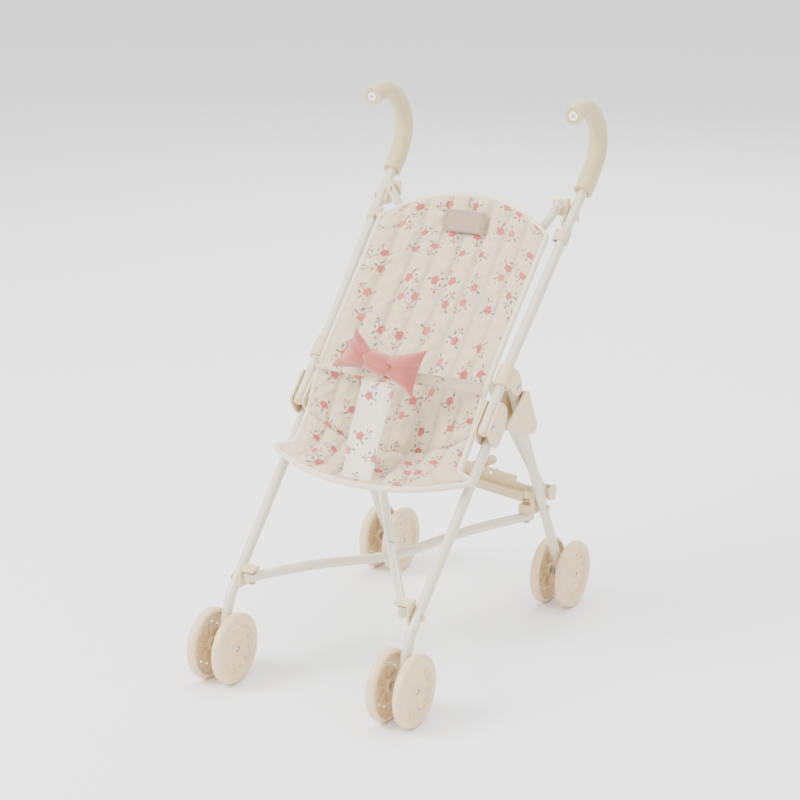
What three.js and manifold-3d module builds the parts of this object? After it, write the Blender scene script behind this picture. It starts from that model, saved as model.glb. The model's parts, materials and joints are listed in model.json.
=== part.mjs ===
// Umbrella-fold doll stroller. Millimetres, +Z up, -Y is the front, origin on the floor mid way.
import * as THREE from 'three';
import { mergeVertices } from 'three/addons/utils/BufferGeometryUtils.js';
import Module from 'manifold-3d';

const wasm = await Module();
wasm.setup();

// ---- driving dimensions -------------------------------------------------------------------
const WHEEL_R = 36;              // doll-size wheel
const WHEEL_W = 10.9;
const PAIR_OUT = 20.06;          // pair centre to outer wheel face
const AXLE_Y = 170.2;            // half wheelbase
const TRACK_F = 101.2;           // half track, front and rear
const TRACK_R = 105;
const FRAME_X = 105.5;           // plane of the side joints
const TUBE_R = 5.1;
const BAR_R = 5;
const BACK_BAR_R = 4.75;
const FIT = 0.3;                 // play between pieces that touch
const PLAY = 1.5;          // play in the two loose rivet holes at the far end of each crossed bar
const HANDLE_FOOT = [-16.2, 245.7];
const HANDLE_TILT = THREE.MathUtils.degToRad(44.66);
const LEG_DROP = 18.5;           // front leg axis below the handle axis
const LOBE_AT = [65, 21];        // rear leg pivot: along the handle, below it
const PIVOT_AT = [7, 0];         // front leg pivot on the handle foot
const GRIP_R = 9.75;

// ---- materials ----------------------------------------------------------------------------
const paint = ['frame_paint', 0xedebe2, 0.45, 0.1];
const plastic = ['joint_plastic', 0xf1e4cd, 0.55, 0];
const wheelPlastic = ['wheel_plastic', 0xefe0cc, 0.6, 0];
const foam = ['grip_foam', 0xd9d0b4, 0.9, 0];
const steel = ['rivet_steel', 0xb9bec4, 0.35, 1];
const white = ['plug_plastic', 0xf4f3ee, 0.5, 0];
const cloth = ['printed_cotton', 0xf3eee3, 0.95, 0];
const ribbon = ['bow_ribbon', 0xe39a8c, 0.7, 0];
const patch = ['label_cloth', 0xd8cbc2, 0.9, 0];

const group = new THREE.Group();
group.name = 'doll_stroller';

// ---- small modelling helpers --------------------------------------------------------------
const V = (x, y, z) => new THREE.Vector3(x, y, z);

function add(name, geometry, look) {
  const [title, color, roughness, metalness] = look;
  const material = new THREE.MeshStandardMaterial({ color, roughness, metalness });
  material.name = title;
  const mesh = new THREE.Mesh(geometry, material);
  mesh.name = name;
  group.add(mesh);
}

function solid(geometry) {
  let g = geometry.clone();
  g.deleteAttribute('normal');
  g.deleteAttribute('uv');
  g = mergeVertices(g, 1e-4);
  const data = { numProp: 3, vertProperties: g.attributes.position.array,
    triVerts: new Uint32Array(g.index.array) };
  return new wasm.Manifold(new wasm.Mesh(data));
}

function bake(body) {
  const out = body.getMesh();
  const g = new THREE.BufferGeometry();
  g.setAttribute('position', new THREE.BufferAttribute(new Float32Array(out.vertProperties), 3));
  g.setIndex(new THREE.BufferAttribute(new Uint32Array(out.triVerts), 1));
  g.computeVertexNormals();
  return g;
}

const join = (...parts) => bake(parts.map(solid).reduce((a, b) => a.add(b)));
const cut = (base, ...tools) => bake(tools.map(solid).reduce((a, b) => a.subtract(b), solid(base)));

function mirrored(geometry) {
  const g = geometry.clone();
  g.scale(-1, 1, 1);
  if (g.index) {
    const i = g.index.array;
    for (let k = 0; k < i.length; k += 3) [i[k], i[k + 1]] = [i[k + 1], i[k]];
  } else {
    const p = g.attributes.position;
    for (let k = 0; k < p.count; k += 3) {
      const a = V().fromBufferAttribute(p, k);
      const b = V().fromBufferAttribute(p, k + 1);
      p.setXYZ(k, b.x, b.y, b.z);
      p.setXYZ(k + 1, a.x, a.y, a.z);
    }
  }
  g.computeVertexNormals();
  return g;
}

// the same piece on both sides
function pair(name, geometry, look) {
  add(name + '_right', geometry, look);
  add(name + '_left', mirrored(geometry), look);
}

function rod(a, b, r, segments = 14) {
  const axis = b.clone().sub(a);
  const g = new THREE.CylinderGeometry(r, r, axis.length(), segments);
  g.applyQuaternion(new THREE.Quaternion().setFromUnitVectors(V(0, 1, 0), axis.normalize()));
  g.translate((a.x + b.x) / 2, (a.y + b.y) / 2, (a.z + b.z) / 2);
  return g;
}

function sweep(curve, r, steps, sides = 14) {
  const ring = new THREE.Shape();
  ring.absarc(0, 0, r, 0, Math.PI * 2, false);
  return new THREE.ExtrudeGeometry(ring,
    { steps, bevelEnabled: false, extrudePath: curve, curveSegments: sides / 2 });
}

// flat plate drawn in the side plane (y, z), thick along X
function sidePlate(points, x0, x1) {
  const shape = new THREE.Shape(points.map((p) => new THREE.Vector2(p[0], p[1])));
  const g = new THREE.ExtrudeGeometry(shape, { depth: x1 - x0, bevelEnabled: false });
  g.applyMatrix4(new THREE.Matrix4().makeBasis(V(0, 1, 0), V(0, 0, 1), V(1, 0, 0)));
  g.translate(x0, 0, 0);
  return g;
}

function box(cx, cy, cz, sx, sy, sz) {
  const g = new THREE.BoxGeometry(sx, sy, sz);
  g.translate(cx, cy, cz);
  return g;
}

// closed turned piece: profile of [radius, height], axis from a towards b
function turned(profile, a, b, segments = 12) {
  const g = new THREE.LatheGeometry(profile.map((p) => new THREE.Vector2(p[0], p[1])), segments);
  const axis = b.clone().sub(a).normalize();
  g.applyQuaternion(new THREE.Quaternion().setFromUnitVectors(V(0, 1, 0), axis));
  g.translate(a.x, a.y, a.z);
  return g;
}

// rivet with two domed heads standing outside a and b
function rivet(a, b, r = 2.2, head = 3.6, dome = 1.5) {
  const n = a.distanceTo(b);
  return turned([[0, -dome], [head * 0.7, -dome * 0.7], [head, 0], [r, 0], [r, n], [head, n],
    [head * 0.7, n + dome * 0.7], [0, n + dome]], a, b);
}

// point in the side plane measured along the handle and below it
function sidePoint(along, below) {
  const c = Math.cos(HANDLE_TILT);
  const s = Math.sin(HANDLE_TILT);
  return [HANDLE_FOOT[0] + along * c + below * s, HANDLE_FOOT[1] + along * s - below * c];
}

// cloth as a closed solid: at(u, v) gives a point, u across -1..1, v 0..1
function clothSolid(at, nu, nv, thick) {
  const rows = [];
  for (let j = 0; j <= nv; j += 1) {
    for (let i = 0; i <= nu; i += 1) {
      const u = (2 * i) / nu - 1;
      const v = j / nv;
      const e = 1e-3;
      const du = at(u + e, v).sub(at(u - e, v));
      const dv = at(u, v + e).sub(at(u, v - e));
      const n = du.cross(dv).normalize().multiplyScalar(thick / 2);
      rows.push([at(u, v).add(n), at(u, v).sub(n)]);
    }
  }
  const count = rows.length;
  const position = [...rows.map((r) => r[0]), ...rows.map((r) => r[1])].flatMap((p) => [p.x, p.y, p.z]);
  const index = [];
  const quad = (a, b, c, d) => index.push(a, b, c, a, c, d);
  const id = (i, j) => j * (nu + 1) + i;
  for (let j = 0; j < nv; j += 1) {
    for (let i = 0; i < nu; i += 1) {
      quad(id(i, j), id(i + 1, j), id(i + 1, j + 1), id(i, j + 1));
      quad(count + id(i, j), count + id(i, j + 1), count + id(i + 1, j + 1), count + id(i + 1, j));
    }
  }
  const loop = [];
  for (let i = 0; i < nu; i += 1) loop.push(id(i, 0));
  for (let j = 0; j < nv; j += 1) loop.push(id(nu, j));
  for (let i = nu; i > 0; i -= 1) loop.push(id(i, nv));
  for (let j = nv; j > 0; j -= 1) loop.push(id(0, j));
  loop.forEach((a, k) => {
    const b = loop[(k + 1) % loop.length];
    quad(b, a, count + a, count + b);
  });
  const g = new THREE.BufferGeometry();
  g.setAttribute('position', new THREE.Float32BufferAttribute(position, 3));
  g.setIndex(index);
  g.computeVertexNormals();
  return g;
}

// ---- shared places ------------------------------------------------------------------------
const side = (p, x = FRAME_X) => V(x, p[0], p[1]);
const lobePin = side(sidePoint(...LOBE_AT));
const footPin = side(sidePoint(...PIVOT_AT));
const legRivet = side(sidePoint(7, LEG_DROP));
const rearAxle = V(TRACK_R, AXLE_Y, WHEEL_R);
const frontAxle = V(TRACK_F, -AXLE_Y, WHEEL_R);
const frontPin = V(TRACK_F + 0.7, -139, 96.5);      // horizontal rivet of the front clevis
const rearPin = V(TRACK_R, 125, 124);
const floorFront = V(85, -139, 101);                // upright rivets of the floor bars
const floorRear = V(87, 122, 111);
const topPin = V(112, 164.6, 424.4);                // back bar bracket on the handle
const backTop = V(96.8, 160, 434);
const backFoot = V(101, 135, 136);
const across = (p, dx) => V(p.x + dx, p.y, p.z);

// ---- handle -------------------------------------------------------------------------------
const handleFoot = side(HANDLE_FOOT);
const handleLine = [0, 30, 55, 80, 120, 170, 220, 270].map((d) => {
  const [y, z] = sidePoint(d, 0);
  return V(FRAME_X + Math.max(0, z - 300) * 0.045, y, z);
});
const hook = [V(112.6, 203.5, 461.5), V(113.7, 217, 482), V(114.2, 218.6, 499), V(114.6, 212, 514),
  V(115, 198, 528), V(115.4, 176, 535.7), V(115.8, 153, 531)];
const handleCurve = new THREE.CatmullRomCurve3([...handleLine, ...hook], false, 'centripetal');

// part of a curve between two fractions of its length
class Stretch extends THREE.Curve {
  constructor(curve, from, to) {
    super();
    Object.assign(this, { curve, from, to });
  }

  getPoint(t) {
    return this.curve.getPointAt(this.from + (this.to - this.from) * t);
  }
}

function handles() {
  const total = handleCurve.getLength();
  const gripFrom = 287 / total;
  const pinHole = rod(across(footPin, -12), across(footPin, 12), 2.2 + FIT, 12);
  const topHole = rod(across(topPin, -12), across(topPin, 12), 2.2 + FIT, 12);
  const collarHole = rod(side(sidePoint(65, 0), 90), side(sidePoint(65, 0), 120), 1.8, 12);
  const tube = sweep(new Stretch(handleCurve, 0, 1 - 8 / total), TUBE_R, 28, 12);
  pair('handle_tube', cut(tube, pinHole, topHole, collarHole), paint);
  const outer = sweep(new Stretch(handleCurve, gripFrom, 1), GRIP_R, 13, 16);
  const bore = sweep(new Stretch(handleCurve, gripFrom - 0.02, 1), TUBE_R + 0.9, 14, 12);
  const tip = handleCurve.getPointAt(1);
  const back = handleCurve.getTangentAt(1).negate();
  const mouth = rod(tip.clone().addScaledVector(back, 3), tip.clone().addScaledVector(back, -3),
    TUBE_R + 0.6);
  pair('handle_grip', cut(outer, bore, mouth), foam);
  pair('grip_plug', turned([[0, 3], [2, 3], [2, -0.4], [5.3, -0.4], [5.3, 6.5], [0, 6.5]], tip,
    tip.clone().add(back)), white);
  const down = handleFoot.clone().sub(side(sidePoint(10, 0))).normalize();
  pair('handle_end_plug', turned([[0, FIT], [TUBE_R, FIT], [TUBE_R - 0.6, 1.8], [1.6, 1.8],
    [1.6, 1], [0, 1]], handleFoot, handleFoot.clone().add(down)), plastic);
}

// ---- side joints --------------------------------------------------------------------------
// plate outline given as [along, below] pairs
const jointPlate = (outline, x0, x1) => sidePlate(outline.map((p) => sidePoint(...p)), x0, x1);

function collars() {
  const sleeve = rod(side(sidePoint(53, 0)), side(sidePoint(75, 0)), 8.2, 18);
  const lip = rod(side(sidePoint(52.6, 0)), side(sidePoint(56, 0)), 8.8, 18);
  const lobe = [[55, 0], [55, 16], [57.5, 24], [62, 28.5], [68, 28.5], [73, 24], [76, 15], [76, 3],
    [73, 0]];
  const cheeks = [[5.8, 8.4], [-8.4, -5.8]].map(([a, b]) => jointPlate(lobe, FRAME_X + a, FRAME_X + b));
  const bore = rod(side(sidePoint(45, 0)), side(sidePoint(85, 0)), TUBE_R + 0.5, 18);
  const hole = rod(across(lobePin, -12), across(lobePin, 12), 2.2 + FIT, 12);
  const head = turned([[0, 0], [3.5, 0], [2.2, 1.2], [0, 1.5]], side(sidePoint(65, 0), FRAME_X + 8.1),
    side(sidePoint(65, 0), FRAME_X + 12), 14);
  pair('joint_collar', bake([...cheeks, lip].map(solid).reduce((a, b) => a.add(b), solid(sleeve))
    .subtract(solid(bore)).subtract(solid(hole)).add(solid(head))), plastic);
  pair('lobe_pin', rivet(across(lobePin, -8.4 - FIT), across(lobePin, 8.4 + FIT)), steel);
}

function sockets() {
  const cheek = [[34, -4.5], [37, 3], [37, 14], [31, 20], [20, 25.5], [2, 25.5], [-4, 21], [-5.5, 13],
    [-3, -2], [0, -4.5]];
  const cheeks = [[5.9, 8.5], [-8.5, -5.9]].map(([a, b]) => jointPlate(cheek, FRAME_X + a, FRAME_X + b));
  const web = jointPlate([[19, 24], [19, 25.9], [2, 25.9], [2, 24]], FRAME_X - 8, FRAME_X + 8);
  const hole = rod(across(footPin, -12), across(footPin, 12), 2.2 + FIT, 12);
  const through = rivet(across(legRivet, -8.45), across(legRivet, 8.45), 2.2, 3.4, 1.4);
  pair('leg_socket', bake(cheeks.map(solid).reduce((a, b) => a.add(b)).add(solid(web))
    .subtract(solid(hole)).add(solid(through))), plastic);
  pair('socket_pin', rivet(across(footPin, -8.5 - FIT), across(footPin, 8.5 + FIT)), steel);
}

function rearBrackets() {
  const plate = [[57, 271], [63, 269], [83, 228], [80.5, 222.5], [74, 220.5], [26, 235.5], [18, 243],
    [18.5, 247]];
  const cheeks = [[9.1, 11.2], [-11.2, -9.1]].map(([a, b]) => sidePlate(plate, FRAME_X + a, FRAME_X + b));
  const web = sidePlate([[59.6, 268.5], [63, 269], [83, 228], [80.5, 225.8]], FRAME_X - 9.5,
    FRAME_X + 9.5);
  const at = V(FRAME_X, 71.4, 225.5);
  const through = rivet(across(at, -11.1), across(at, 11.1), 2.2, 3.6, 1.4);
  pair('rear_bracket', join(...cheeks, web, through), plastic);
  return at;
}

// ---- legs ---------------------------------------------------------------------------------
function frontLegs() {
  const top = side(sidePoint(17, LEG_DROP));
  const knee = V(101.7, -156.5, 80.5);
  const foot = V(TRACK_F, -172.2, 29.2);
  const near = (a, b, d) => a.clone().add(b.clone().sub(a).normalize().multiplyScalar(d));
  const path = new THREE.CurvePath();
  path.add(new THREE.LineCurve3(top, near(knee, top, 16)));
  path.add(new THREE.QuadraticBezierCurve3(near(knee, top, 16), knee, near(knee, foot, 16)));
  path.add(new THREE.LineCurve3(near(knee, foot, 16), foot));
  const tube = sweep(path, TUBE_R, 15, 12);
  const holes = [rod(across(legRivet, -12), across(legRivet, 12), 2.2 + FIT, 12),
    rod(across(frontPin, -14), across(frontPin, 14), 2.2 + FIT, 12),
    rod(across(frontAxle, -14), across(frontAxle, 14), 2.5 + FIT, 12)];
  pair('front_leg', cut(tube, ...holes), paint);
}

function rearLegs(bracketRivet) {
  const dir = side([rearAxle.y, rearAxle.z]).sub(lobePin).normalize();
  const top = lobePin.clone().addScaledVector(dir, -5.5);
  const foot = rearAxle.clone().addScaledVector(dir, 7.5);
  const seatOf = [lobePin, bracketRivet, rearPin].map((p) => rod(across(p, -14), across(p, 14),
    2.2 + FIT, 12));
  pair('rear_leg', cut(rod(top, foot, TUBE_R), ...seatOf,
    rod(across(rearAxle, -14), across(rearAxle, 14), 2.5 + FIT, 12)), paint);
}

// ---- wheels -------------------------------------------------------------------------------
function wheel(centre, out) {
  const face = [[2.9, 4.2], [7.5, 4.2], [8.4, 2.7], [28.2, 2.7], [29.8, 5.45], [34, 4.6], [36, 0],
    [34, -4.6], [29.9, -5.45], [28.6, -0.3], [8.2, -0.3], [7.6, -4.9], [2.9, -4.9], [2.9, 4.2]];
  const disc = turned(face.reverse(), centre, across(centre, out), 22);
  const slots = [];
  for (let k = 0; k < 12; k += 1) {
    const slot = new THREE.BoxGeometry(14, 4, 2.2);
    slot.translate(0, 0, 21.5);
    slot.rotateX((k * Math.PI) / 6);
    slot.translate(centre.x, centre.y, centre.z);
    slots.push(slot);
  }
  return cut(disc, ...slots);
}

function wheelsAndAxles() {
  const spread = PAIR_OUT - WHEEL_W / 2;
  for (const [name, at] of [['front', frontAxle], ['rear', rearAxle]]) {
    pair(name + '_wheel_outer', wheel(across(at, spread), 1), wheelPlastic);
    pair(name + '_wheel_inner', wheel(across(at, -spread), -1), wheelPlastic);
    const h = spread + 3.2;
    pair(name + '_axle', turned([[0, -h], [2.5, -h], [2.5, -9.3], [4.2, -9.3], [4.2, -5.5], [2.5, -5.5],
      [2.5, 5.5], [4.2, 5.5], [4.2, 9.3], [2.5, 9.3], [2.5, h], [0, h]], at, across(at, 5)), steel);
  }
}

// ---- floor cross --------------------------------------------------------------------------
const floorSlope = Math.atan2(floorRear.z - floorFront.z, floorRear.y - floorFront.y);
const floorUp = V(0, -Math.sin(floorSlope), Math.cos(floorSlope));
const floorMid = floorFront.clone().lerp(floorRear, floorFront.x / (floorFront.x + floorRear.x));
floorMid.x = 0;

function floorClevises() {
  const upright = (p, drop) => rivet(p.clone().addScaledVector(floorUp, -drop), p.clone()
    .addScaledVector(floorUp, 9.4), 2.2, 3.8, 1.3);
  const ear = sidePlate([[-146.5, 90], [-132, 90], [-130.5, 97], [-133, 108.5], [-145.5, 108.5],
    [-147.5, 97]], 94, 96.3);
  const shelf = box(88.2, -139, 109.3, 16, 13.5, 3.4);
  const rail = rod(V(95, frontPin.y, frontPin.z), V(108.4, frontPin.y, frontPin.z), 2.2, 14);
  const head = turned([[0, 0], [3.6, 0], [2.2, 1.2], [0, 1.5]], V(108, frontPin.y, frontPin.z),
    V(112, frontPin.y, frontPin.z), 14);
  pair('front_clevis', join(shelf, ear, rail, head, upright(floorFront, 6.6)), plastic);

  const rearEar = sidePlate([[114, 118], [132, 118], [132, 127], [126.5, 133], [125.5, 149], [118, 149],
    [115, 136]], 95, 98.8);
  const foot = box(90, 122.2, 121.2, 17, 15.5, 9.2);
  const lug = box(95.4, 122.5, 140, 6.6, 7, 12);
  const stub = rod(V(97, rearPin.y, rearPin.z), V(111.6, rearPin.y, rearPin.z), 2.2, 14);
  const cap = turned([[0, 0], [3.8, 0], [2.4, 1.3], [0, 1.6]], V(110.9, rearPin.y, rearPin.z),
    V(115, rearPin.y, rearPin.z), 14);
  const bracePin = rod(V(89, 117, 137), V(89, 128.6, 137), 2, 12);
  const braceArm = box(92.6, 117, 137, 11, 2.6, 8);
  pair('rear_clevis', join(rearEar, foot, lug, stub, cap, bracePin, braceArm, upright(floorRear, 5.6)),
    plastic);
}

function floorBars() {
  const bar = (a, b, dip) => {
    const dir = b.clone().sub(a).normalize();
    const from = a.clone().addScaledVector(dir, -7);
    const to = b.clone().addScaledVector(dir, 7);
    const points = [];
    for (let k = 0; k <= 12; k += 1) {
      const t = k / 12;
      const fall = dip * Math.exp(-(((t - 0.5) / 0.2) ** 2));
      points.push(from.clone().lerp(to, t).addScaledVector(floorUp, -fall));
    }
    const tube = dip ? sweep(new THREE.CatmullRomCurve3(points), BAR_R, 14, 12) : rod(from, to, BAR_R);
    const hole = (p, slack) => rod(p.clone().addScaledVector(floorUp, -20),
      p.clone().addScaledVector(floorUp, 20), 2.2 + slack, 12);
    const holes = [hole(a, PLAY), hole(b, FIT), hole(floorMid, FIT)];
    return cut(tube, ...holes);
  };
  const flip = (p) => V(-p.x, p.y, p.z);
  add('floor_bar_lower', bar(flip(floorFront), floorRear, 10.4), paint);
  add('floor_bar_upper', bar(floorFront, flip(floorRear), 0), paint);
  add('floor_pin', rivet(floorMid.clone().addScaledVector(floorUp, -10.4 - BAR_R - FIT),
    floorMid.clone().addScaledVector(floorUp, BAR_R + FIT)), steel);
}

// ---- back cross ---------------------------------------------------------------------------
const backSlope = V(0, backTop.y - backFoot.y, backTop.z - backFoot.z).normalize();
const backOut = V(0, -backSlope.z, backSlope.y);              // towards the seat
const backMid = V(0, 0, 0).lerpVectors(backFoot, backTop, backFoot.x / (backFoot.x + backTop.x));
backMid.x = 0;

function backBars() {
  const bar = (a, b, jog) => {
    const dir = b.clone().sub(a).normalize();
    const from = a.clone().addScaledVector(dir, -5);
    const to = b.clone().addScaledVector(dir, 5);
    const points = [];
    for (let k = 0; k <= 12; k += 1) {
      const t = k / 12;
      const off = jog * Math.exp(-(((t - 0.49) / 0.2) ** 2));
      points.push(from.clone().lerp(to, t).addScaledVector(backOut, off));
    }
    const tube = jog ? sweep(new THREE.CatmullRomCurve3(points), BACK_BAR_R, 14, 12)
      : rod(from, to, BACK_BAR_R);
    const hole = (p, slack) => rod(p.clone().addScaledVector(backOut, -24),
      p.clone().addScaledVector(backOut, 24), 2 + slack, 12);
    const holes = [hole(a, FIT), hole(b, PLAY - 0.3), hole(backMid, jog ? FIT : PLAY)];
    return cut(tube, ...holes);
  };
  const flip = (p) => V(-p.x, p.y, p.z);
  add('back_bar_front', bar(flip(backFoot), backTop, 9.9), paint);
  add('back_bar_rear', bar(backFoot, flip(backTop), 0), paint);
  add('back_pin', rivet(backMid.clone().addScaledVector(backOut, -BACK_BAR_R - FIT),
    backMid.clone().addScaledVector(backOut, 9.9 + BACK_BAR_R + FIT), 2, 3.4, 1.3), steel);
}

function backBrackets() {
  // plate behind the bar end, with the upright rivet and a tongue to the tube
  const stem = (p, x0, x1, h) => {
    const g = new THREE.BoxGeometry(x1 - x0, 3, h);
    g.applyMatrix4(new THREE.Matrix4().makeBasis(V(1, 0, 0), backOut.clone().negate(), backSlope));
    g.translate((x0 + x1) / 2, p.y - backOut.y * 7, p.z - backOut.z * 7);
    return g;
  };
  const bolt = (p) => rivet(p.clone().addScaledVector(backOut, -8), p.clone()
    .addScaledVector(backOut, 5.1), 2, 3.3, 1.2);
  const wing = sidePlate([[158, 416], [171, 416], [176, 428], [173, 443], [166.5, 443], [166, 430],
    [158, 423]], 102.4, 105.5);
  const shaft = rod(V(103.5, topPin.y, topPin.z), V(118.4, topPin.y, topPin.z), 2.2, 14);
  const cap = turned([[0, 0], [3.6, 0], [2.3, 1.2], [0, 1.5]], V(118, topPin.y, topPin.z),
    V(121, topPin.y, topPin.z), 14);
  pair('top_bracket', join(stem(backTop, 89, 104, 16), bolt(backTop), wing, shaft, cap), plastic);

  const footPlate = sidePlate([[127.5, 131], [141, 129], [144.5, 138], [142, 145], [127, 143]],
    108.4, 110.8);
  pair('back_foot', join(stem(backFoot, 95, 110.8, 15), bolt(backFoot), footPlate), plastic);
}

// ---- fold brace ---------------------------------------------------------------------------
const BRACE_RISE = THREE.MathUtils.degToRad(6.5);
const bracePivot = V(89, 125, 137);

function brace() {
  // each half is a shallow trough section, hinged on the rear clevis, meeting at the middle pin
  const length = bracePivot.x / Math.cos(BRACE_RISE);
  const turnUp = (g) => {
    g.rotateY(BRACE_RISE);
    g.translate(bracePivot.x, bracePivot.y, bracePivot.z);
    return g;
  };
  const plate = (x0, x1, y0, y1, z0, z1) => box((x0 + x1) / 2, (y0 + y1) / 2, (z0 + z1) / 2, x1 - x0,
    y1 - y0, z1 - z0);
  const bodyFrom = -length + 8;
  const channel = (from) => join(plate(from, -18, 1.2, 3.8, -10.2, 13),
    plate(-20, 3.6, 1.2, 3.8, -10.2, 6.4), plate(from, -4, -5.2, 2, -10.2, -0.5));
  const bore = join(rod(V(0, -12, 0), V(0, 12, 0), 2 + FIT, 12), plate(0, 5, -12, 12, -12, -5));
  const port = rod(V(-length + 41, -12, 8), V(-length + 41, 12, 8), 2.1, 12);
  const midHole = rod(V(-length, -12, 0), V(-length, 12, 0), 2 + FIT, 12);
  const tongueR = plate(-length - 5.2, bodyFrom + 2, 1.2, 3.8, -6, 6);
  const hump = rod(V(-length + 48, 2.5, 12), V(-length + 48, 2.5, 14.6), 1.6, 12);
  const right = cut(join(channel(bodyFrom), tongueR, hump), bore, port, midHole);
  // the left half steps back behind the right one and takes the middle pin in a long slot
  const tongueL = join(plate(-length - 5.6, -length + 36, 4.1, 6.8, -8.4, 10.4),
    plate(-length + 25, -length + 36, 3.6, 4.4, -8.4, 10.4));
  const slot = plate(-length - 2.8, -length + 12, 0, 12, -5, 7.4);
  const left = cut(join(channel(-length + 24), tongueL), bore, slot);
  add('brace_right', turnUp(right), plastic);
  add('brace_left', mirrored(turnUp(left)), plastic);
  const mid = V(0, bracePivot.y, bracePivot.z + length * Math.sin(BRACE_RISE));
  add('brace_pin', rivet(V(0, mid.y + 1.2 - FIT, mid.z), V(0, mid.y + 10, mid.z), 2, 3.4, 1.2), steel);
  add('release_lever', releaseLever(mid), plastic);
}

// release lever: a tongue on the middle pin, behind the brace, with a round thumb end
function releaseLever(mid) {
  const arm = box(20, mid.y + 8.4, mid.z + 6, 46, 2.6, 9);
  arm.translate(-20, 0, -6 - mid.z);
  arm.rotateY(-0.42);
  arm.translate(20, 0, mid.z + 6);
  const thumb = rod(V(40.5, mid.y + 7.1, 163), V(40.5, mid.y + 9.7, 163), 5, 16);
  const boss = rod(V(0, mid.y + 7.1, mid.z), V(0, mid.y + 9.7, mid.z), 6, 16);
  return cut(join(arm, thumb, boss), rod(V(0, 100, mid.z), V(0, 160, mid.z), 2 + FIT, 12));
}

// ---- fabric -------------------------------------------------------------------------------
const CLOTH = 5;
// [along, below] of the seat back on its centre line and at its side edges, crease to top
const BACK_CENTRE = [[-29, 25], [8, 17], [48, 10.5], [96, 9.5], [143, 8], [190, 7.5], [224, 4.5],
  [262, -7.5]];
const BACK_EDGE = [[-6, 6], [14, 0], [48, -6.5], [90, -8], [130, -8], [168, -8], [200, -8], [224, -8]];
// [y, z] of the seat pan, front edge to crease
const PAN_CENTRE = [[-81, 194.5], [-60, 197.5], [-38, 200], [-19.5, 202]];
const PAN_EDGE = [[-50, 206], [-40, 213.5], [-30, 222.5], [-18.5, 236]];

function along(list, v) {
  const t = THREE.MathUtils.clamp(v, 0, 1) * (list.length - 1);
  const k = Math.min(Math.floor(t), list.length - 2);
  const f = t - k;
  return [list[k][0] * (1 - f) + list[k + 1][0] * f, list[k][1] * (1 - f) + list[k + 1][1] * f];
}

function blendRows(centre, edge, u, v) {
  const a = along(centre, v);
  const b = along(edge, v);
  const s = Math.min(1, Math.abs(u)) ** 2.2;
  return [a[0] * (1 - s) + b[0] * s, a[1] * (1 - s) + b[1] * s];
}

function backPoint(u, v, lift = 0) {
  const [d, below] = blendRows(BACK_CENTRE, BACK_EDGE, u, v);
  const [y, z] = sidePoint(d, below - lift);
  return V(u * (93.5 + 3 * v), y, z);
}

function panPoint(u, v) {
  const [y, z] = blendRows(PAN_CENTRE, PAN_EDGE, u, v);
  const half = 93 + 19 * THREE.MathUtils.smoothstep(0.3 - v, 0, 0.3);
  return V(u * half, y, z);
}

function seat() {
  add('seat_back', clothSolid(backPoint, 10, 14, CLOTH), cloth);
  add('seat_pan', clothSolid(panPoint, 12, 6, CLOTH), cloth);
  add('label_patch', clothSolid((u, v) => backPoint(u * 0.25, 0.84 + 0.085 * v, 3.9), 4, 2, 1), patch);
  const d = [224, 237];
  const at = (k) => side(sidePoint(k, 0), FRAME_X + (sidePoint(k, 0)[1] - 300) * 0.045);
  const tab = jointPlate([[d[0], -9.5], [d[1], -9.5], [d[1], -6.3], [d[0], -6.3]], 98.5, at(230).x + 2);
  pair('top_strap', cut(join(rod(at(d[0]), at(d[1]), 7.6), tab), rod(at(220), at(250), TUBE_R + 0.5)),
    cloth);
}

function harness() {
  const belt = (u, v) => {
    const s = Math.abs(u) ** 1.7;
    return V(95.5 * u, -30 + 32 * s, 295 - 11 * s + (v - 0.5) * 13);
  };
  add('waist_belt', clothSolid(belt, 14, 1, 2.4), cloth);
  const strap = (u, v) => V(u * (17 + 2 * v), -80 + 46 * Math.max(0, v) ** 1.15, 199.6 + 88.2 * v);
  add('crotch_strap', clothSolid(strap, 2, 8, 2), cloth);
  const wing = (k) => {
    const outline = [[2, -9], [2, 9], [26, 17], [50, 25], [56, 2], [47, -22], [24, -15]];
    const shape = new THREE.Shape(outline.map((p) => new THREE.Vector2(p[0] * k, p[1])));
    const g = new THREE.ExtrudeGeometry(shape, { depth: 9, bevelEnabled: false });
    g.rotateX(Math.PI / 2);
    g.translate(0, -33.5, 309);
    return g;
  };
  add('bow', join(wing(1), wing(-1), box(0, -39, 309, 22, 14, 20)), ribbon);
}

handles();
collars();
sockets();
frontLegs();
rearLegs(rearBrackets());
wheelsAndAxles();
floorClevises();
floorBars();
backBars();
backBrackets();
brace();
seat();
harness();

// the origin lies under the middle of the overall length
group.position.y = -11.447;

export default group;
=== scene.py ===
import bpy
import json
import math
from mathutils import Matrix, Vector, noise


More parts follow.
